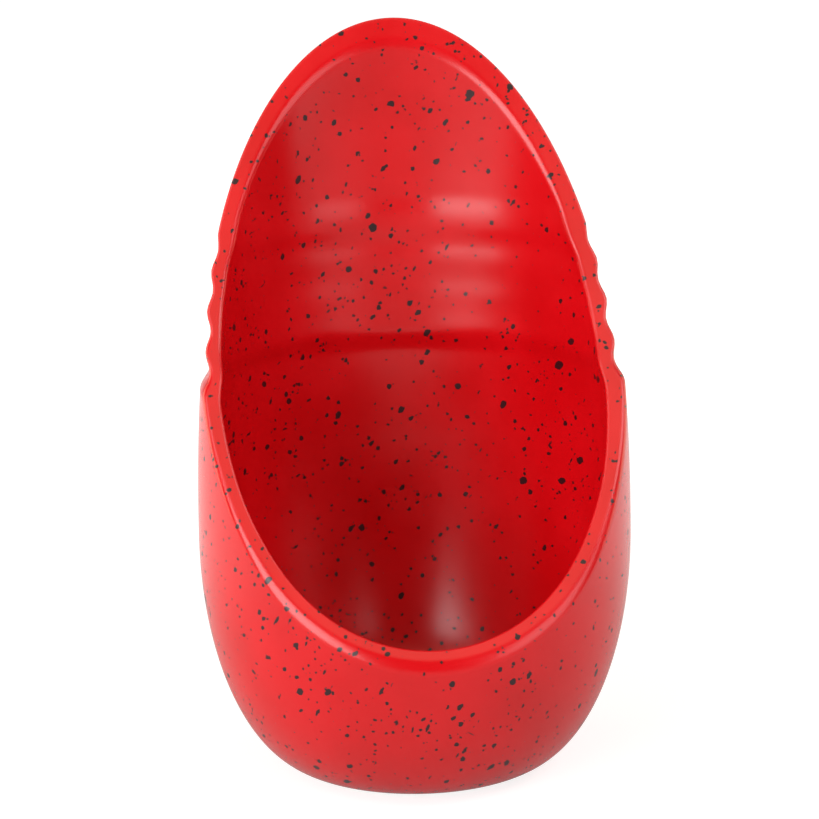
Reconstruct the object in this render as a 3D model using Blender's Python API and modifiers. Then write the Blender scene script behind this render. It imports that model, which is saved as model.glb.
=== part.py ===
"""An upright ceramic utensil rest: an egg-shaped pot with an open front.

It is one slip-cast piece. A turned body stands on its foot at the origin, +Z up, and a sloping side
curve cuts its front away from a low lip at -Y up to the top of the back at +Y. Lengths are in metres.
"""

import math

import bmesh
import bpy

OBJECT_NAME = "utensil_rest"
BODY_NAME = "holder_body"

# The bowl: a quarter ellipse from the foot up to the widest level, and a slower one above it, which has
# come in by an inset at the shoulder.
FOOT_RADIUS = 0.0253
WIDEST_RADIUS = 0.0510
WIDEST_HEIGHT = 0.0557
SHOULDER_INSET = 0.0013
SHOULDER_HEIGHT = 0.0915
SHOULDER_RADIUS = WIDEST_RADIUS - SHOULDER_INSET

# The back steps in from the shoulder, and leans in along an oval that would close this far up.
SHELL_STEP = 0.0015
SHELL_REACH = 0.1250
SHELL_RADIUS = SHOULDER_RADIUS - SHELL_STEP

# The ribs: waves in the wall, counted up from the shoulder.
RIB_COUNT = 4
RIB_PITCH = 0.0086
LOWEST_RIB_DEPTH = 0.00135
HIGHEST_RIB_DEPTH = 0.00075

# The wall in the bowl and in the back. Between them the inside leans in slowly and takes a share of the
# way in one short step. Both start this far below the shoulder and have a length upwards.
BOWL_WALL = 0.0038
BACK_WALL = 0.0043
INNER_LEAN_DROP = 0.0235
INNER_LEAN_LENGTH = 0.0340
INNER_STEP_DROP = 0.0015
INNER_STEP_LENGTH = 0.0065
INNER_STEP_SHARE = 0.55

# Inside, the ribs are fainter and grow mostly near the top, and the last one's top flank is stretched.
INNER_LOWEST_RIB_DEPTH = 0.00005
INNER_HIGHEST_RIB_DEPTH = 0.00076
INNER_RIB_GROWTH = 6.0
INNER_TOP_FLANK = 2.0

# The floor above the ground, and the unglazed ring around a shallow recess.
FLOOR = 0.0046
FOOT_RING_WIDTH = 0.0050
FOOT_RECESS_DEPTH = 0.0010

# The rim in side view: its height at the front lip, over the axis and at the top of the back, and a bend
# behind the axis that lies this much further back and higher.
LIP_HEIGHT = 0.0374
SIDE_HEIGHT = 0.0992
BEND_DEPTH = 0.0134
BEND_RISE = 0.0185
TOP_HEIGHT = 0.1733
LIP_SLOPE = math.radians(49.5)
SIDE_SLOPE = math.radians(44.7)
BEND_SLOPE = math.radians(59.4)
TOP_SLOPE = math.radians(69.0)

# How finely the surface is faceted, and how far the cutter and the blank run past the object.
SEGMENTS = 60
BOWL_STEPS = 12
FLANK_STEPS = 4
STEPS_PER_RIB = 6
SHELL_STEPS = 9
RIM_STEPS = 10
CUTTER_MARGIN = 0.0120
BLANK_MARGIN = 0.0040


def rib_top():
    """The height where the highest rib ends and the smooth back begins."""
    return SHOULDER_HEIGHT + RIB_COUNT * RIB_PITCH


def smooth_step(share):
    share = min(max(share, 0.0), 1.0)
    return share * share * (3.0 - 2.0 * share)


def rib_wave(turns, lowest, highest, growth):
    """A wave that is zero at each whole turn and deepest half way, between the given depths."""
    if turns <= 0.0 or turns >= RIB_COUNT:
        return 0.0
    depth = lowest + (turns / RIB_COUNT) ** growth * (highest - lowest)
    return depth * (1.0 - math.cos(2.0 * math.pi * turns)) / 2.0


def rib_depth(height):
    """How far the rib waves sink the outside at a height: nothing at each crest, most between two."""
    turns = (height - SHOULDER_HEIGHT) / RIB_PITCH
    return rib_wave(turns, LOWEST_RIB_DEPTH, HIGHEST_RIB_DEPTH, 1.0)


def inner_rib_depth(height):
    """How far the same waves stand into the hollow. The last one runs out more slowly."""
    turns = (height - SHOULDER_HEIGHT) / RIB_PITCH
    last = max(turns - (RIB_COUNT - 0.5), 0.0)
    turns = turns - last + last / INNER_TOP_FLANK
    return rib_wave(turns, INNER_LOWEST_RIB_DEPTH, INNER_HIGHEST_RIB_DEPTH, INNER_RIB_GROWTH)


def bowl_radius(height):
    """The outer radius of the bowl below its widest level."""
    share = (WIDEST_HEIGHT - height) / WIDEST_HEIGHT
    return FOOT_RADIUS + (WIDEST_RADIUS - FOOT_RADIUS) * math.sqrt(1.0 - share * share)


def flank_radius(height):
    """The bowl between its widest level and the shoulder, run on straight above the shoulder."""
    rise = SHOULDER_HEIGHT - WIDEST_HEIGHT
    fall = 1.0 - (SHOULDER_RADIUS / WIDEST_RADIUS) ** 2
    if height > SHOULDER_HEIGHT:
        slope = -fall * WIDEST_RADIUS ** 2 / (SHOULDER_RADIUS * rise)
        return SHOULDER_RADIUS + slope * (height - SHOULDER_HEIGHT)
    share = (height - WIDEST_HEIGHT) / rise
    return WIDEST_RADIUS * math.sqrt(1.0 - fall * share * share)


def shell_radius(height):
    """The outer radius of the back above the shoulder, without its ribs."""
    share = max(height - SHOULDER_HEIGHT, 0.0) / SHELL_REACH
    return SHELL_RADIUS * math.sqrt(1.0 - share ** 3)


def outer_radius(height):
    """The outer radius at any height."""
    if height < WIDEST_HEIGHT:
        return bowl_radius(height)
    if height <= SHOULDER_HEIGHT:
        return flank_radius(height)
    blend = smooth_step((height - SHOULDER_HEIGHT) / RIB_PITCH)
    radius = (1.0 - blend) * flank_radius(height) + blend * shell_radius(height)
    return radius - rib_depth(height)


def inner_radius(height):
    """The inner radius from the widest level up."""
    above_shoulder = height - SHOULDER_HEIGHT
    lean = smooth_step((above_shoulder + INNER_LEAN_DROP) / INNER_LEAN_LENGTH)
    step = smooth_step((above_shoulder + INNER_STEP_DROP) / INNER_STEP_LENGTH)
    blend = (1.0 - INNER_STEP_SHARE) * lean + INNER_STEP_SHARE * step
    bowl = flank_radius(height) - BOWL_WALL
    back = shell_radius(height) - BACK_WALL
    return (1.0 - blend) * bowl + blend * back - inner_rib_depth(height)


def heights_above_widest(top):
    """Levels from the widest one up to a given top, closer together on the ribs."""
    levels = []
    for step in range(1, FLANK_STEPS + 1):
        levels.append(WIDEST_HEIGHT + (SHOULDER_HEIGHT - WIDEST_HEIGHT) * step / FLANK_STEPS)
    for step in range(1, RIB_COUNT * STEPS_PER_RIB + 1):
        levels.append(SHOULDER_HEIGHT + RIB_PITCH * step / STEPS_PER_RIB)
    for step in range(1, SHELL_STEPS + 1):
        levels.append(rib_top() + (top - rib_top()) * step / SHELL_STEPS)
    return levels


def bowl_points(widest, bottom):
    """A quarter ellipse from a level bottom of the foot's radius up to the widest level."""
    points = []
    for step in range(BOWL_STEPS + 1):
        angle = math.pi / 2.0 * step / BOWL_STEPS
        radius = FOOT_RADIUS + (widest - FOOT_RADIUS) * math.sin(angle)
        height = WIDEST_HEIGHT - (WIDEST_HEIGHT - bottom) * math.cos(angle)
        points.append((radius, height))
    return points


def wall_profile():
    """The closed section from the axis on the floor, over the top and down to the underside."""
    levels = heights_above_widest(TOP_HEIGHT + BLANK_MARGIN)
    ring_inner = FOOT_RADIUS - FOOT_RING_WIDTH
    inner = [(0.0, FLOOR)] + bowl_points(WIDEST_RADIUS - BOWL_WALL, FLOOR)
    inner += [(inner_radius(level), level) for level in levels]
    outer = bowl_points(WIDEST_RADIUS, 0.0)
    outer += [(outer_radius(level), level) for level in levels]
    recess = [
        (ring_inner, 0.0),
        (ring_inner - FOOT_RECESS_DEPTH, FOOT_RECESS_DEPTH),
        (0.0, FOOT_RECESS_DEPTH),
    ]
    return inner + outer[::-1] + recess


def turned_blank(name, profile, collection):
    """A closed section at +X turned about Z."""
    mesh = bpy.data.meshes.new(name)
    points = [(radius, 0.0, height) for radius, height in profile]
    edges = [(index, index + 1) for index in range(len(points) - 1)]
    mesh.from_pydata(points, edges, [])
    blank = bpy.data.objects.new(name, mesh)
    collection.objects.link(blank)
    screw = blank.modifiers.new("turn", "SCREW")
    screw.axis = "Z"
    screw.steps = SEGMENTS
    screw.render_steps = SEGMENTS
    screw.use_merge_vertices = True
    screw.merge_threshold = 0.00001
    screw.use_smooth_shade = True
    return blank


def along(point, slope, distance):
    """A point of the side view moved along a slope that rises towards the back."""
    return (point[0] + distance * math.cos(slope), point[1] + distance * math.sin(slope))


def rim_stretch(spline, index, start, start_slope, end, end_slope):
    """Sets the handles between two Bezier points a third of the way in, along their slopes."""
    reach = math.dist(start, end) / 3.0
    spline.bezier_points[index].handle_right = (*along(start, start_slope, reach), 0.0)
    spline.bezier_points[index + 1].handle_left = (*along(end, end_slope, -reach), 0.0)


def rim_cutter(name, collection):
    """A block that takes away all that lies in front of and above the rim's side curve."""
    lip = (-outer_radius(LIP_HEIGHT), LIP_HEIGHT)
    side = (0.0, SIDE_HEIGHT)
    bend = (BEND_DEPTH, SIDE_HEIGHT + BEND_RISE)
    top = (outer_radius(TOP_HEIGHT), TOP_HEIGHT)
    before = along(lip, LIP_SLOPE, -CUTTER_MARGIN)
    after = along(top, TOP_SLOPE, CUTTER_MARGIN)
    ceiling = after[1] + CUTTER_MARGIN
    outline = [before, lip, side, bend, top, after, (after[0], ceiling), (before[0], ceiling)]

    curve = bpy.data.curves.new(name, "CURVE")
    curve.dimensions = "2D"
    curve.fill_mode = "BOTH"
    curve.resolution_u = RIM_STEPS
    curve.extrude = WIDEST_RADIUS + CUTTER_MARGIN
    spline = curve.splines.new("BEZIER")
    spline.use_cyclic_u = True
    spline.bezier_points.add(len(outline) - 1)
    for point, place in zip(spline.bezier_points, outline):
        point.co = (*place, 0.0)
        point.handle_left_type = "FREE"
        point.handle_right_type = "FREE"
        point.handle_left = point.co
        point.handle_right = point.co
    rim_stretch(spline, 1, lip, LIP_SLOPE, side, SIDE_SLOPE)
    rim_stretch(spline, 2, side, SIDE_SLOPE, bend, BEND_SLOPE)
    rim_stretch(spline, 3, bend, BEND_SLOPE, top, TOP_SLOPE)

    guide = bpy.data.objects.new(name + "_outline", curve)
    guide.rotation_euler = (math.pi / 2.0, 0.0, math.pi / 2.0)
    collection.objects.link(guide)
    bpy.context.view_layer.update()
    graph = bpy.context.evaluated_depsgraph_get()
    mesh = bpy.data.meshes.new_from_object(guide.evaluated_get(graph))
    shape = bmesh.new()
    shape.from_mesh(mesh)
    bmesh.ops.remove_doubles(shape, verts=shape.verts, dist=0.00001)
    bmesh.ops.recalc_face_normals(shape, faces=shape.faces)
    shape.to_mesh(mesh)
    shape.free()
    cutter = bpy.data.objects.new(name, mesh)
    cutter.matrix_world = guide.matrix_world
    collection.objects.link(cutter)
    bpy.data.objects.remove(guide)
    cutter.hide_render = True
    cutter.display_type = "WIRE"
    return cutter


def glaze_material():
    material = bpy.data.materials.new("red_speckled_glaze")
    material.use_nodes = True
    shader = material.node_tree.nodes["Principled BSDF"]
    shader.inputs["Base Color"].default_value = (0.68, 0.03, 0.025, 1.0)
    shader.inputs["Roughness"].default_value = 0.35
    shader.inputs["Metallic"].default_value = 0.0
    return material


def new_collection(name):
    collection = bpy.data.collections.new(name)
    bpy.context.scene.collection.children.link(collection)
    return collection


def build():
    for item in list(bpy.data.objects):
        bpy.data.objects.remove(item)
    parts = new_collection(OBJECT_NAME)
    cutters = new_collection(OBJECT_NAME + "_cutters")

    body = turned_blank(BODY_NAME, wall_profile(), parts)
    body.data.materials.append(glaze_material())
    cut = body.modifiers.new("open_front", "BOOLEAN")
    cut.operation = "DIFFERENCE"
    cut.solver = "EXACT"
    cut.object = rim_cutter("front_opening", cutters)


build()
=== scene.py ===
"""Looks of an upright ceramic utensil rest: an egg-shaped, open-fronted pot in red speckled glaze.

The pot is one piece. Its visible skin is one fine grid, turned about Z and trimmed by the sloping
rim, with rounded rim edges, ribs through the wall and a bare clay foot. Lengths are in metres, and
in millimetres where a comment says so.
"""

import math

import bpy
import numpy as np
from mathutils import Matrix, Vector


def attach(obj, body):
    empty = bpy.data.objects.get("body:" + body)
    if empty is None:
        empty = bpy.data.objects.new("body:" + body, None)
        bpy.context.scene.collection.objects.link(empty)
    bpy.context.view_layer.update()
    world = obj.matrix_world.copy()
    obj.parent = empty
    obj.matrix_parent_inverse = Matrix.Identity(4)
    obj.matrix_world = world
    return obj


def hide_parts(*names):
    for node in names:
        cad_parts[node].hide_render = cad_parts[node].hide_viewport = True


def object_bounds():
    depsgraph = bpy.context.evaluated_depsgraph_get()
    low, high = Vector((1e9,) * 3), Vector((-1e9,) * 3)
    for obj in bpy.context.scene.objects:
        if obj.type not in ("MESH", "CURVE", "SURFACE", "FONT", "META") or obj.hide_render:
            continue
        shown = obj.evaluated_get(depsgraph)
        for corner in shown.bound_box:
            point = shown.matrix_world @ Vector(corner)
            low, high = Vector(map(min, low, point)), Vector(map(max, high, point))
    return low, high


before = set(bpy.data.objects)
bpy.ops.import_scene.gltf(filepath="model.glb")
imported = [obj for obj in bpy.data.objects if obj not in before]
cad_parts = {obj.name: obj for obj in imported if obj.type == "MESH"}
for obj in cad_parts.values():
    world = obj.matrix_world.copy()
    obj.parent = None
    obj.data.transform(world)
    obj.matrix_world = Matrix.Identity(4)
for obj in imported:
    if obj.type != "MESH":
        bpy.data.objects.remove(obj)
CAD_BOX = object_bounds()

MM = 0.001

# ---------------------------------------------------------------- sizes, as the CAD part has them

FOOT_RADIUS = 25.3 * MM
WIDEST_RADIUS = 51.0 * MM
WIDEST_HEIGHT = 55.7 * MM
SHOULDER_RADIUS = 49.7 * MM
SHOULDER_HEIGHT = 91.5 * MM
SHELL_RADIUS = 48.2 * MM
SHELL_REACH = 125.0 * MM
RIB_COUNT = 4
RIB_PITCH = 8.6 * MM
LOWEST_RIB_DEPTH = 1.35 * MM
HIGHEST_RIB_DEPTH = 0.75 * MM
BOWL_WALL = 3.8 * MM
BACK_WALL = 4.3 * MM
INNER_LEAN_DROP = 23.5 * MM
INNER_LEAN_LENGTH = 34.0 * MM
INNER_STEP_DROP = 1.5 * MM
INNER_STEP_LENGTH = 6.5 * MM
INNER_STEP_SHARE = 0.55
INNER_LOWEST_RIB_DEPTH = 0.05 * MM
INNER_HIGHEST_RIB_DEPTH = 0.76 * MM
INNER_RIB_GROWTH = 6.0
INNER_TOP_FLANK = 2.0
FLOOR = 4.6 * MM
FOOT_RING_WIDTH = 5.0 * MM
FOOT_RECESS_DEPTH = 1.0 * MM
LIP_HEIGHT = 37.4 * MM
SIDE_HEIGHT = 99.2 * MM
BEND_DEPTH = 13.4 * MM
BEND_RISE = 18.5 * MM
LIP_SLOPE = math.radians(49.5)
SIDE_SLOPE = math.radians(44.7)
BEND_SLOPE = math.radians(59.4)
TOP_SLOPE = math.radians(69.0)

# The rim's edges are rounded: the outer one most at the front lip and least at the top of the back.
# A rounded tip ends lower than a sharp one, so the rim is cut higher by this much and the pot keeps
# its height.
LIP_ROUNDING = 1.7 * MM
SIDE_ROUNDING = 0.95 * MM
TIP_ROUNDING = 0.5 * MM
INNER_ROUNDING = 1.05 * MM
TIP_LOSS = 0.40 * MM
TOP_HEIGHT = CAD_BOX[1][2] + TIP_LOSS

# The pot was trimmed by hand, so the wall of the back is a little thicker on its right (+X) side.
HOLLOW_SHIFT_LOW = 0.15 * MM
HOLLOW_SHIFT_HIGH = 0.45 * MM

# How fine the skin and the curves it is worked out from are.
COLUMNS = 320
OUTER_ROWS = 210
INNER_ROWS = 200
ROUNDING_ROWS = 8
BAND_ROWS = 5
RECESS_EDGE_ROWS = 7
RIM_CURVE_POINTS = 200
ARC_POINTS = 4000

# Where the skin's flat parts have their rows, as shares of the way out.
RECESS_SHARES = (0.25, 0.5, 0.75, 0.92)
RING_SHARES = (0.2, 0.5, 0.8)
FLOOR_SHARES = (0.85, 0.65, 0.45, 0.25, 0.1)

# How far apart a slope's two points are, and how often each search for a place repeats.
WALL_PROBE = 0.02 * MM
RIM_PROBE = 0.8 * MM
HALVINGS = 50
NEWTON_STEPS = 12

# A wall's end is looked for between a low level and a margin above the top, and the rim's curve
# runs on straight past both of its ends.
LOWEST_END = 5.0 * MM
END_MARGIN = 20.0 * MM
RIM_RUN_ON = 30.0 * MM

# ---------------------------------------------------------------- looks

# Colours are linear. Those of materials have an alpha.
WHITE = (1.0, 1.0, 1.0)
WARM = (1.0, 0.93, 0.72)
DEEP_GLAZE = (0.54, 0.0015, 0.004, 1.0)
BRIGHT_GLAZE = (0.60, 0.0025, 0.006, 1.0)
IRON = (0.022, 0.005, 0.007, 1.0)
DARK_CLAY = (0.62, 0.52, 0.42, 1.0)
LIGHT_CLAY = (0.80, 0.72, 0.62, 1.0)

# The glaze. Noise scales are cycles in a millimetre.
CLOUD_SCALE = 0.05
CLOUD_RANGE = (0.3, 0.7)
SATIN_RANGE = (0.23, 0.27)
SPECK_ROUGHENING = 0.08
GLAZE_IOR = 1.5
PEEL_SCALE = 0.45
PEEL_STRENGTH = 0.35
PEEL_DEPTH = 0.03 * MM

# The bare foot: the glaze thins out between two heights in millimetres, along a ragged line.
CLAY_ROUGHNESS = 0.85
GRIT_SCALE = 3.0
BARE_BELOW = 0.45
GLAZED_ABOVE = 0.7
LINE_SCALE = 0.5
LINE_WOBBLE = 0.25

# The specks. A wobble makes their edges ragged. The share of cells that hold one follows a slow
# noise from the fewest to the most, so they crowd in some places.
WOBBLE_SCALE = 1.1
WOBBLE_REACH = 0.85
CROWD_SCALE = 0.035
CROWD_OFFSET = (31.0, 7.0, 12.0)
CROWD_RANGE = (0.35, 0.65)
FEWEST, MOST = 0.45, 1.0
HAIR_PRESENCE = 0.5
SIZE_POWER = 2.2

# Layers of specks, in millimetres and degrees:
# cell, smallest radius, largest radius, soft edge, turn, stretch, seed
SPECK_LAYERS = (
    (2.4, 0.17, 0.42, 0.05, (0, 0, 0), 1.0, 3.1),
    (2.9, 0.28, 0.62, 0.07, (50, 10, 0), 1.3, 11.7),
    (4.2, 0.38, 0.80, 0.08, (15, 40, 0), 1.6, 23.9),
    (7.5, 0.55, 1.15, 0.10, (70, 25, 0), 1.9, 37.3),
    (2.6, 0.17, 0.40, 0.05, (35, 20, 0), 4.6, 41.3),
    (2.6, 0.17, 0.42, 0.05, (-50, 65, 10), 5.2, 57.7),
    (2.7, 0.17, 0.40, 0.05, (80, -30, 0), 4.2, 73.1),
)
HAIR_LAYERS = (
    (4.0, 0.09, 0.19, 0.05, (20, -55, 0), 8.0, 88.9),
    (4.0, 0.09, 0.19, 0.05, (-65, 15, 0), 7.0, 97.7),
)

# The paper: half its width, and its glow, given as two places and the glow at each. What it lends
# the pot grows towards the back and outwards, and what the eye sees of it grows outwards.
PAPER_HALF = 6.0
PAPER_TONE = (0.34, 0.34, 0.34, 1.0)
PAPER_ROUGHNESS = 0.9
LENT_BY_DEPTH = (-0.30, -0.02, 0.05, 0.80)
LENT_BY_DISTANCE = (0.03, 0.28, 0.30, 1.0)
SEEN_BY_DISTANCE = (0.10, 0.55, 0.80, 1.0)
WORLD_LENT = 0.03
WORLD_SEEN = 1.0

# The lights, in degrees, metres and watts:
# azimuth, elevation, distance, width, height, power, colour
# Azimuth 0 is in front of the pot, and positive is to its right.
LIGHTS = {
    "key_left": (-44.0, 12.0, 1.1, 0.86, 0.75, 12.8, WHITE),
    "fill_right": (42.0, 11.0, 1.2, 0.72, 0.72, 4.0, WHITE),
    "upper_left": (-64.0, 46.0, 1.2, 0.60, 0.50, 2.6, WHITE),
    "upper_right": (64.0, 46.0, 1.2, 0.60, 0.50, 4.0, WHITE),
    "side_left": (-112.0, 12.0, 1.5, 1.2, 1.3, 17.0, WARM),
    "side_right": (108.0, 12.0, 1.5, 1.2, 1.3, 12.5, WARM),
    "overhead": (0.0, 68.0, 1.5, 1.6, 1.2, 7.0, WARM),
}
LIGHTS_AIM = (0.0, 0.0, 0.09)

# The camera: a long lens a little above the pot and to its left, held almost level.
CAMERA_DISTANCE = 0.700
CAMERA_ELEVATION = math.radians(12.68)
CAMERA_ASIDE = math.radians(5.42)
CAMERA_ROLL = math.radians(-0.85)
CAMERA_TARGET = (0.0, 0.0, 0.087)
AIM_LEFT = 0.8 * MM
AIM_DOWN = 1.7 * MM
CAMERA_LENS = 131.2
SENSOR_WIDTH = 36.0


# ---------------------------------------------------------------- the turned shape

def smooth_step(share):
    share = np.clip(share, 0.0, 1.0)
    return share * share * (3.0 - 2.0 * share)


def rib_wave(turns, lowest, highest, growth=1.0):
    """A wave that is zero at each whole turn and deepest half way, between the given depths."""
    depth = lowest + np.clip(turns / RIB_COUNT, 0.0, 1.0) ** growth * (highest - lowest)
    inside = (turns > 0.0) & (turns < RIB_COUNT)
    return np.where(inside, depth * (1.0 - np.cos(2.0 * np.pi * turns)) / 2.0, 0.0)


def rib_depth(height):
    """How far the rib waves sink the wall at a height: nothing at each crest, most between two."""
    turns = (height - SHOULDER_HEIGHT) / RIB_PITCH
    return rib_wave(turns, LOWEST_RIB_DEPTH, HIGHEST_RIB_DEPTH)


def inner_rib_depth(height):
    """The fainter waves inside, whose last one runs out more slowly than the rib outside it."""
    turns = (height - SHOULDER_HEIGHT) / RIB_PITCH
    last = np.maximum(turns - (RIB_COUNT - 0.5), 0.0)
    turns = turns - last + last / INNER_TOP_FLANK
    return rib_wave(turns, INNER_LOWEST_RIB_DEPTH, INNER_HIGHEST_RIB_DEPTH, INNER_RIB_GROWTH)


def flank_radius(height):
    """The bowl between its widest level and the shoulder, run on straight above the shoulder."""
    rise = SHOULDER_HEIGHT - WIDEST_HEIGHT
    fall = 1.0 - (SHOULDER_RADIUS / WIDEST_RADIUS) ** 2
    slope = -fall * WIDEST_RADIUS ** 2 / (SHOULDER_RADIUS * rise)
    share = np.minimum((height - WIDEST_HEIGHT) / rise, 1.0)
    curved = WIDEST_RADIUS * np.sqrt(1.0 - fall * share * share)
    return curved + slope * np.maximum(height - SHOULDER_HEIGHT, 0.0)


def shell_radius(height):
    """The back above the shoulder, without its ribs."""
    reach = np.clip((height - SHOULDER_HEIGHT) / SHELL_REACH, 0.0, 1.0)
    return SHELL_RADIUS * np.sqrt(1.0 - reach ** 3)


def upper_radius(height):
    """The outer radius from the widest level up: the flank, the ribs and the smooth back."""
    blend = smooth_step((height - SHOULDER_HEIGHT) / RIB_PITCH)
    smooth = (1.0 - blend) * flank_radius(height) + blend * shell_radius(height)
    return smooth - rib_depth(height)


def bowl_radius(height, widest, bottom):
    """A quarter ellipse from a flat bottom of the foot's radius up to the widest level."""
    share = np.clip((WIDEST_HEIGHT - height) / (WIDEST_HEIGHT - bottom), 0.0, 1.0)
    return FOOT_RADIUS + (widest - FOOT_RADIUS) * np.sqrt(1.0 - share * share)


def outer_radius(height):
    below = bowl_radius(height, WIDEST_RADIUS, 0.0)
    return np.where(height < WIDEST_HEIGHT, below, upper_radius(height))


def inner_lean(height):
    return smooth_step((height - SHOULDER_HEIGHT + INNER_LEAN_DROP) / INNER_LEAN_LENGTH)


def inner_blend(height):
    """How far the inside has gone over from the bowl to the back: a slow lean and a short step."""
    step = smooth_step((height - SHOULDER_HEIGHT + INNER_STEP_DROP) / INNER_STEP_LENGTH)
    return (1.0 - INNER_STEP_SHARE) * inner_lean(height) + INNER_STEP_SHARE * step


def inner_radius(height):
    below = bowl_radius(height, WIDEST_RADIUS - BOWL_WALL, FLOOR)
    blend = inner_blend(height)
    above = (1.0 - blend) * (flank_radius(height) - BOWL_WALL)
    above = above + blend * (shell_radius(height) - BACK_WALL) - inner_rib_depth(height)
    return np.where(height < WIDEST_HEIGHT, below, above)


def hollow_wall(sideways):
    """The inner radius as a function of height, with the hollow moved a little towards -X."""
    def radius(height):
        grown = smooth_step(height / WIDEST_HEIGHT)
        further = (HOLLOW_SHIFT_HIGH - HOLLOW_SHIFT_LOW) * inner_lean(height)
        shift = HOLLOW_SHIFT_LOW * grown + further
        return inner_radius(height) - shift * sideways
    return radius


def outer_rounding(facing):
    """The radius of the outer rim edge around the pot: a parabola through its three values."""
    slant = (LIP_ROUNDING - TIP_ROUNDING) / 2.0
    bend = (LIP_ROUNDING + TIP_ROUNDING) / 2.0 - SIDE_ROUNDING
    return SIDE_ROUNDING + slant * facing + bend * facing * facing


def slope_of(function, height):
    change = function(height + WALL_PROBE) - function(height - WALL_PROBE)
    return change / (2.0 * WALL_PROBE)


# ---------------------------------------------------------------- the rim's side curve

def bezier(start, start_slope, end, end_slope):
    """A cubic in side view whose handles are a third of its span long, as the CAD cutter's are."""
    reach = math.dist(start, end) / 3.0
    first = (start[0] + reach * math.cos(start_slope), start[1] + reach * math.sin(start_slope))
    second = (end[0] - reach * math.cos(end_slope), end[1] - reach * math.sin(end_slope))
    t = np.linspace(0.0, 1.0, RIM_CURVE_POINTS)[:, None]
    corners = [np.array(corner) for corner in (start, first, second, end)]
    return ((1 - t) ** 3 * corners[0] + 3 * (1 - t) ** 2 * t * corners[1]
            + 3 * (1 - t) * t * t * corners[2] + t ** 3 * corners[3])


def rim_side_curve():
    """(depth, height) points of the rim in side view, run on straight past both ends."""
    lip = (-float(outer_radius(LIP_HEIGHT)), LIP_HEIGHT)
    side = (0.0, SIDE_HEIGHT)
    bend = (BEND_DEPTH, SIDE_HEIGHT + BEND_RISE)
    top = (float(outer_radius(TOP_HEIGHT)), TOP_HEIGHT)
    before = (lip[0] - RIM_RUN_ON * math.cos(LIP_SLOPE), lip[1] - RIM_RUN_ON * math.sin(LIP_SLOPE))
    after = (top[0] + RIM_RUN_ON * math.cos(TOP_SLOPE), top[1] + RIM_RUN_ON * math.sin(TOP_SLOPE))
    low = bezier(lip, LIP_SLOPE, side, SIDE_SLOPE)
    middle = bezier(side, SIDE_SLOPE, bend, BEND_SLOPE)
    high = bezier(bend, BEND_SLOPE, top, TOP_SLOPE)
    return np.vstack([before, low, middle[1:], high[1:], after])


RIM_CURVE = rim_side_curve()


def rim_depth(height):
    """How far back (+Y) the rim's cut lies at a height."""
    return np.interp(height, RIM_CURVE[:, 1], RIM_CURVE[:, 0])


def rim_run(height):
    """How fast the rim's cut moves back as it rises."""
    return (rim_depth(height + RIM_PROBE) - rim_depth(height - RIM_PROBE)) / (2.0 * RIM_PROBE)


def cut_distance(radius, height, facing):
    """Distance in front of the rim's cut: positive where the pot is cut away."""
    depth = -radius * facing
    return (rim_depth(height) - depth) / np.sqrt(1.0 + rim_run(height) ** 2)


def wall_height_at(wall, facing, distance):
    """The height on a wall, at each azimuth, that lies this far behind the rim's cut."""
    low = np.full_like(facing, LOWEST_END)
    high = np.full_like(facing, TOP_HEIGHT + END_MARGIN)
    for _ in range(HALVINGS):
        middle = (low + high) / 2.0
        beyond = cut_distance(wall(middle), middle, facing) > -distance
        high = np.where(beyond, middle, high)
        low = np.where(beyond, low, middle)
    return (low + high) / 2.0


def rounded_edge(wall, side, facing, size, turn, guess):
    """Points of one rounded rim edge. side is +1 on the outer wall and -1 on the inner one.

    turn runs from 0, tangent to the wall, to 1, tangent to the cut. Newton steps find the point
    that is at both wanted distances, one from the wall and one from the cut.
    """
    angle = turn * np.pi / 2.0
    want_wall = size * (np.cos(angle) - 1.0)
    want_cut = size * (np.sin(angle) - 1.0)
    radius, height = guess
    for _ in range(NEWTON_STEPS):
        wall_run = slope_of(wall, height)
        wall_length = np.sqrt(1.0 + wall_run ** 2)
        run = rim_run(height)
        run_length = np.sqrt(1.0 + run ** 2)
        off_wall = side * (radius - wall(height)) / wall_length - want_wall
        off_cut = cut_distance(radius, height, facing) - want_cut
        wall_out, wall_up = side / wall_length, -side * wall_run / wall_length
        cut_out, cut_up = facing / run_length, run / run_length
        determinant = wall_out * cut_up - wall_up * cut_out
        radius = radius - (off_wall * cut_up - off_cut * wall_up) / determinant
        height = height - (off_cut * wall_out - off_wall * cut_out) / determinant
    return radius, height


# ---------------------------------------------------------------- the skin as a grid

def arc_table(function, low, high):
    """Heights and the length along a wall up to each, from a dense walk."""
    share = (1.0 - np.cos(np.linspace(0.0, np.pi, ARC_POINTS))) / 2.0
    heights = low + (high - low) * share
    radii = function(heights)
    steps = np.hypot(np.diff(heights), np.diff(radii))
    return heights, np.concatenate([[0.0], np.cumsum(steps)])


def wall_rows(wall, mean_wall, low, ends, count):
    """Rows of (radius, height) that share out each column's length from a low level to its end."""
    heights, lengths = arc_table(mean_wall, low, TOP_HEIGHT)
    whole = np.interp(ends, heights, lengths)
    rows = []
    for row in range(count):
        height = np.interp(whole * row / count, lengths, heights)
        rows.append((wall(height), height))
    return rows


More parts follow.
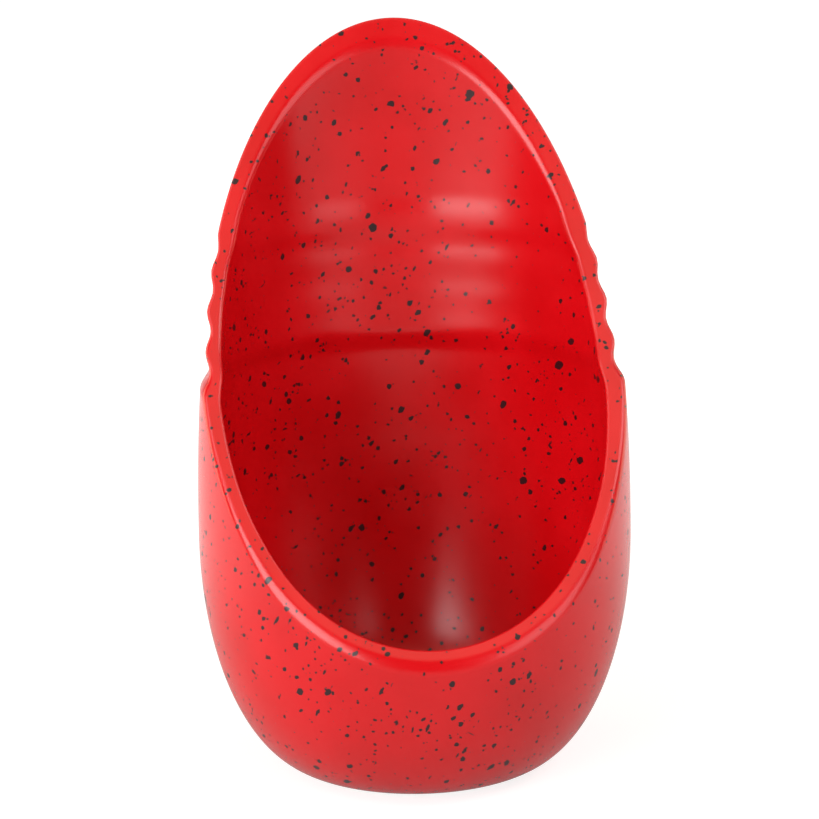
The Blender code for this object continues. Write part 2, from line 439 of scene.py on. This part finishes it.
def foot_rows(facing):
    """The underside: a shallow recess, its rounded step and the flat ring that the pot rests on."""
    ring_inner = FOOT_RADIUS - FOOT_RING_WIDTH
    rows = []
    for share in RECESS_SHARES:
        rows.append((ring_inner * share, FOOT_RECESS_DEPTH))
    for turn in np.linspace(0.0, 1.0, RECESS_EDGE_ROWS):
        drop = FOOT_RECESS_DEPTH * smooth_step(turn)
        rows.append((ring_inner - FOOT_RECESS_DEPTH * (1.0 - turn), FOOT_RECESS_DEPTH - drop))
    for share in RING_SHARES:
        rows.append((ring_inner + FOOT_RING_WIDTH * share, 0.0))
    return [(np.full_like(facing, r), np.full_like(facing, h)) for r, h in rows]


def skin_rows(facing, sideways):
    """All rows of the skin, from the underside over the rim to the floor inside."""
    rows = foot_rows(facing)

    size = outer_rounding(facing)
    outer_end = wall_height_at(outer_radius, facing, size)
    rows += wall_rows(outer_radius, outer_radius, 0.0, outer_end, OUTER_ROWS)
    guess = (outer_radius(outer_end), outer_end)
    for turn in np.linspace(0.0, 1.0, ROUNDING_ROWS):
        guess = rounded_edge(outer_radius, 1.0, facing, size, turn, guess)
        rows.append(guess)

    hollow = hollow_wall(sideways)
    inner_end = wall_height_at(hollow, facing, INNER_ROUNDING)
    guess = (hollow(inner_end), inner_end)
    inner_edge = []
    for turn in np.linspace(0.0, 1.0, ROUNDING_ROWS):
        guess = rounded_edge(hollow, -1.0, facing, INNER_ROUNDING, turn, guess)
        inner_edge.append(guess)

    start, end = rows[-1], inner_edge[-1]
    for step in range(1, BAND_ROWS + 1):
        share = step / (BAND_ROWS + 1)
        rows.append(tuple((1 - share) * low + share * high for low, high in zip(start, end)))
    rows += inner_edge[::-1]
    rows += wall_rows(hollow, inner_radius, FLOOR, inner_end, INNER_ROWS)[::-1]
    for share in FLOOR_SHARES:
        rows.append((np.full_like(facing, FOOT_RADIUS * share), np.full_like(facing, FLOOR)))
    return rows


def holder_skin():
    """The whole pot as one closed mesh."""
    azimuth = np.linspace(0.0, 2.0 * np.pi, COLUMNS, endpoint=False)
    facing = np.cos(azimuth)
    rows = skin_rows(facing, np.sin(azimuth))
    radius = np.array([row[0] for row in rows])
    height = np.array([row[1] for row in rows])
    places = np.stack([radius * np.sin(azimuth), -radius * facing, height], axis=-1).reshape(-1, 3)
    poles = np.array([[0.0, 0.0, FOOT_RECESS_DEPTH], [0.0, 0.0, FLOOR]])
    under, inside = len(places), len(places) + 1

    column = np.arange(COLUMNS)
    beside = (column + 1) % COLUMNS
    faces = []
    for row in range(len(rows) - 1):
        low, high = row * COLUMNS, (row + 1) * COLUMNS
        faces += np.stack([low + column, low + beside, high + beside, high + column], 1).tolist()
    last = (len(rows) - 1) * COLUMNS
    faces += [[under, int(b), int(a)] for a, b in zip(column, beside)]
    faces += [[inside, int(last + a), int(last + b)] for a, b in zip(column, beside)]

    mesh = bpy.data.meshes.new("holder_skin")
    mesh.from_pydata(np.vstack([places, poles]).tolist(), [], faces)
    mesh.update()
    mesh.shade_smooth()
    piece = bpy.data.objects.new("holder_skin", mesh)
    bpy.context.scene.collection.objects.link(piece)
    return piece


# ---------------------------------------------------------------- materials

class Nodes:
    """Short calls for making and linking shader nodes."""

    def __init__(self, material):
        material.use_nodes = True
        self.tree = material.node_tree
        self.shader = self.tree.nodes["Principled BSDF"]

    def new(self, kind, **settings):
        node = self.tree.nodes.new(kind)
        for name, value in settings.items():
            setattr(node, name, value)
        return node

    def put(self, value, socket):
        """Links an output to a socket, or sets the socket to a plain value."""
        if isinstance(value, bpy.types.NodeSocket):
            self.tree.links.new(value, socket)
        else:
            socket.default_value = value

    def maths(self, operation, first, second):
        node = self.new("ShaderNodeMath", operation=operation)
        self.put(first, node.inputs[0])
        self.put(second, node.inputs[1])
        return node.outputs[0]

    def vector(self, operation, first, second):
        node = self.new("ShaderNodeVectorMath", operation=operation)
        self.put(first, node.inputs[0])
        self.put(second, node.inputs["Scale"] if operation == "SCALE" else node.inputs[1])
        return node.outputs[0]

    def ramp(self, value, low, high, out_low=0.0, out_high=1.0, smooth=True):
        """Carries a value from the range low to high over to out_low to out_high."""
        node = self.new("ShaderNodeMapRange")
        node.interpolation_type = "SMOOTHSTEP" if smooth else "LINEAR"
        for number, name in ((value, "Value"), (low, "From Min"), (high, "From Max"),
                             (out_low, "To Min"), (out_high, "To Max")):
            self.put(number, node.inputs[name])
        return node.outputs[0]

    def noise(self, place, scale, detail):
        node = self.new("ShaderNodeTexNoise")
        self.put(place, node.inputs["Vector"])
        node.inputs["Scale"].default_value = scale
        node.inputs["Detail"].default_value = detail
        node.inputs["Roughness"].default_value = 0.5
        return node

    def mix_colour(self, share, first, second):
        """A blend of two colours, which are the Mix node's seventh and eighth inputs."""
        node = self.new("ShaderNodeMix", data_type="RGBA")
        self.put(share, node.inputs["Factor"])
        self.put(first, node.inputs[6])
        self.put(second, node.inputs[7])
        return node.outputs[2]

    def mix_number(self, share, first, second):
        """A blend of two numbers, which are the Mix node's third and fourth inputs."""
        node = self.new("ShaderNodeMix", data_type="FLOAT")
        self.put(share, node.inputs[0])
        self.put(first, node.inputs[2])
        self.put(second, node.inputs[3])
        return node.outputs[0]


def spots(nodes, place, presence, layer):
    """A mask of scattered blobs, in millimetres: one in some cells of a 3-D Voronoi pattern.

    A layer's turn and stretch draw its blobs out into dashes or hairs along one direction.
    """
    cell, smallest, largest, edge, turn, stretch, seed = layer
    mapping = nodes.new("ShaderNodeMapping", vector_type="TEXTURE")
    nodes.put(place, mapping.inputs["Vector"])
    mapping.inputs["Rotation"].default_value = [math.radians(angle) for angle in turn]
    mapping.inputs["Location"].default_value = (seed, 1.7 * seed, -seed)
    mapping.inputs["Scale"].default_value = (cell, cell, cell * stretch)
    voronoi = nodes.new("ShaderNodeTexVoronoi", voronoi_dimensions="3D", feature="F1")
    nodes.put(mapping.outputs[0], voronoi.inputs["Vector"])
    voronoi.inputs["Scale"].default_value = 1.0
    voronoi.inputs["Randomness"].default_value = 1.0
    parts = nodes.new("ShaderNodeSeparateColor")
    nodes.put(voronoi.outputs["Color"], parts.inputs[0])
    size = nodes.maths("POWER", parts.outputs[0], SIZE_POWER)
    reach = nodes.ramp(size, 0.0, 1.0, smallest / cell, largest / cell, smooth=False)
    there = nodes.maths("LESS_THAN", parts.outputs[1], presence)
    inner = nodes.maths("SUBTRACT", reach, edge / cell)
    outer = nodes.maths("ADD", reach, edge / cell)
    blob = nodes.ramp(voronoi.outputs["Distance"], inner, outer, 1.0, 0.0)
    return nodes.maths("MULTIPLY", blob, there)


def speckle_mask(nodes, place):
    """Iron specks of every size: pinpoints, specks, blots, dashes and a few hairs."""
    wobble = nodes.noise(place, WOBBLE_SCALE, detail=3.0)
    centred = nodes.vector("SUBTRACT", wobble.outputs["Color"], (0.5, 0.5, 0.5))
    ragged = nodes.vector("ADD", place, nodes.vector("SCALE", centred, WOBBLE_REACH))
    crowd = nodes.noise(nodes.vector("ADD", place, CROWD_OFFSET), CROWD_SCALE, detail=1.0)
    presence = nodes.ramp(crowd.outputs[0], *CROWD_RANGE, FEWEST, MOST)
    layers = [spots(nodes, ragged, presence, layer) for layer in SPECK_LAYERS]
    layers += [spots(nodes, place, HAIR_PRESENCE, layer) for layer in HAIR_LAYERS]
    mask = layers[0]
    for layer in layers[1:]:
        mask = nodes.maths("MAXIMUM", mask, layer)
    return mask


def glaze_material():
    """Satin red glaze with iron specks, and bare clay where the pot stands."""
    material = bpy.data.materials.new("red_speckled_glaze")
    nodes = Nodes(material)
    where = nodes.new("ShaderNodeTexCoord").outputs["Object"]
    place = nodes.vector("SCALE", where, 1.0 / MM)
    parts = nodes.new("ShaderNodeSeparateXYZ")
    nodes.put(place, parts.inputs[0])
    height = parts.outputs["Z"]

    cloud = nodes.noise(place, CLOUD_SCALE, detail=3.0)
    depth = nodes.ramp(cloud.outputs[0], *CLOUD_RANGE)
    glaze = nodes.mix_colour(depth, DEEP_GLAZE, BRIGHT_GLAZE)
    specks = speckle_mask(nodes, place)
    glaze = nodes.mix_colour(specks, glaze, IRON)

    ragged = nodes.noise(place, LINE_SCALE, detail=2.0)
    wobble = nodes.ramp(ragged.outputs[0], 0.0, 1.0, -LINE_WOBBLE, LINE_WOBBLE)
    line = nodes.maths("ADD", height, wobble)
    bare = nodes.ramp(line, BARE_BELOW, GLAZED_ABOVE, 1.0, 0.0)
    grit = nodes.noise(place, GRIT_SCALE, detail=4.0)
    clay = nodes.mix_colour(grit.outputs[0], DARK_CLAY, LIGHT_CLAY)
    nodes.put(nodes.mix_colour(bare, glaze, clay), nodes.shader.inputs["Base Color"])

    satin = nodes.ramp(cloud.outputs[0], *CLOUD_RANGE, *SATIN_RANGE)
    satin = nodes.maths("ADD", satin, nodes.maths("MULTIPLY", specks, SPECK_ROUGHENING))
    rough = nodes.mix_number(bare, satin, CLAY_ROUGHNESS)
    nodes.put(rough, nodes.shader.inputs["Roughness"])

    peel = nodes.noise(place, PEEL_SCALE, detail=3.0)
    bump = nodes.new("ShaderNodeBump")
    bump.inputs["Strength"].default_value = PEEL_STRENGTH
    bump.inputs["Distance"].default_value = PEEL_DEPTH
    nodes.put(peel.outputs[0], bump.inputs["Height"])
    nodes.put(bump.outputs[0], nodes.shader.inputs["Normal"])
    nodes.shader.inputs["IOR"].default_value = GLAZE_IOR
    return material


def paper_material():
    """White paper that looks overexposed, most so far away, and lends the pot less light."""
    material = bpy.data.materials.new("white_paper")
    nodes = Nodes(material)
    nodes.shader.inputs["Base Color"].default_value = PAPER_TONE
    nodes.shader.inputs["Roughness"].default_value = PAPER_ROUGHNESS
    nodes.shader.inputs["Specular IOR Level"].default_value = 0.0
    nodes.shader.inputs["Emission Color"].default_value = (*WHITE, 1.0)
    where = nodes.new("ShaderNodeTexCoord").outputs["Object"]
    length = nodes.new("ShaderNodeVectorMath", operation="LENGTH")
    nodes.put(where, length.inputs[0])
    distance = length.outputs["Value"]
    parts = nodes.new("ShaderNodeSeparateXYZ")
    nodes.put(where, parts.inputs[0])
    lent = nodes.ramp(parts.outputs["Y"], *LENT_BY_DEPTH)
    lent = nodes.maths("MULTIPLY", lent, nodes.ramp(distance, *LENT_BY_DISTANCE))
    seen = nodes.ramp(distance, *SEEN_BY_DISTANCE)
    from_camera = nodes.new("ShaderNodeLightPath").outputs["Is Camera Ray"]
    glow = nodes.mix_number(from_camera, lent, seen)
    nodes.put(glow, nodes.shader.inputs["Emission Strength"])
    return material


# ---------------------------------------------------------------- floor, light and camera

def make_floor():
    mesh = bpy.data.meshes.new("floor")
    half = PAPER_HALF
    corners = [(-half, -half, 0.0), (half, -half, 0.0), (half, half, 0.0), (-half, half, 0.0)]
    mesh.from_pydata(corners, [], [(0, 1, 2, 3)])
    floor = bpy.data.objects.new("floor", mesh)
    bpy.context.scene.collection.objects.link(floor)
    mesh.materials.append(paper_material())


def softbox(name, azimuth, elevation, distance, width, height, power, colour):
    """A rectangular area light that faces the pot."""
    data = bpy.data.lights.new(name, "AREA")
    data.shape = "RECTANGLE"
    data.size = width
    data.size_y = height
    data.energy = power
    data.color = colour
    lamp = bpy.data.objects.new(name, data)
    turn, lift = math.radians(azimuth), math.radians(elevation)
    level = math.cos(lift)
    away = Vector((math.sin(turn) * level, -math.cos(turn) * level, math.sin(lift)))
    lamp.location = Vector(LIGHTS_AIM) + distance * away
    lamp.rotation_euler = (-away).to_track_quat("-Z", "Y").to_euler()
    bpy.context.scene.collection.objects.link(lamp)


def make_world():
    """A white surround that the camera sees in full, but that lights the pot only faintly."""
    world = bpy.data.worlds.new("studio")
    world.use_nodes = True
    tree = world.node_tree
    background = tree.nodes["Background"]
    background.inputs["Color"].default_value = (*WHITE, 1.0)
    path = tree.nodes.new("ShaderNodeLightPath")
    level = tree.nodes.new("ShaderNodeMapRange")
    level.inputs["To Min"].default_value = WORLD_LENT
    level.inputs["To Max"].default_value = WORLD_SEEN
    tree.links.new(path.outputs["Is Camera Ray"], level.inputs["Value"])
    tree.links.new(level.outputs[0], background.inputs["Strength"])
    bpy.context.scene.world = world


def make_camera():
    """A long lens a little above the pot and to its left, looking slightly down."""
    level = math.cos(CAMERA_ELEVATION)
    forward = Vector((math.sin(CAMERA_ASIDE) * level, math.cos(CAMERA_ASIDE) * level,
                      -math.sin(CAMERA_ELEVATION)))
    right = Vector((math.cos(CAMERA_ASIDE), -math.sin(CAMERA_ASIDE), 0.0))
    up = right.cross(forward)
    tilted_right = math.cos(CAMERA_ROLL) * right + math.sin(CAMERA_ROLL) * up
    tilted_up = math.cos(CAMERA_ROLL) * up - math.sin(CAMERA_ROLL) * right
    aim = Vector(CAMERA_TARGET) - AIM_LEFT * tilted_right - AIM_DOWN * tilted_up
    data = bpy.data.cameras.new("camera")
    data.sensor_width = SENSOR_WIDTH
    data.lens = CAMERA_LENS
    camera = bpy.data.objects.new("camera", data)
    axes = Matrix((tilted_right, tilted_up, -forward)).transposed().to_4x4()
    camera.matrix_world = Matrix.Translation(aim - CAMERA_DISTANCE * forward) @ axes
    bpy.context.scene.collection.objects.link(camera)
    bpy.context.scene.camera = camera


# ---------------------------------------------------------------- the scene

make_camera()
make_floor()
for name, settings in LIGHTS.items():
    softbox(name, *settings)
make_world()
skin = holder_skin()
skin.data.materials.append(glaze_material())
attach(skin, "root")
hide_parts("holder_body")
bpy.context.scene.view_settings.view_transform = "Standard"
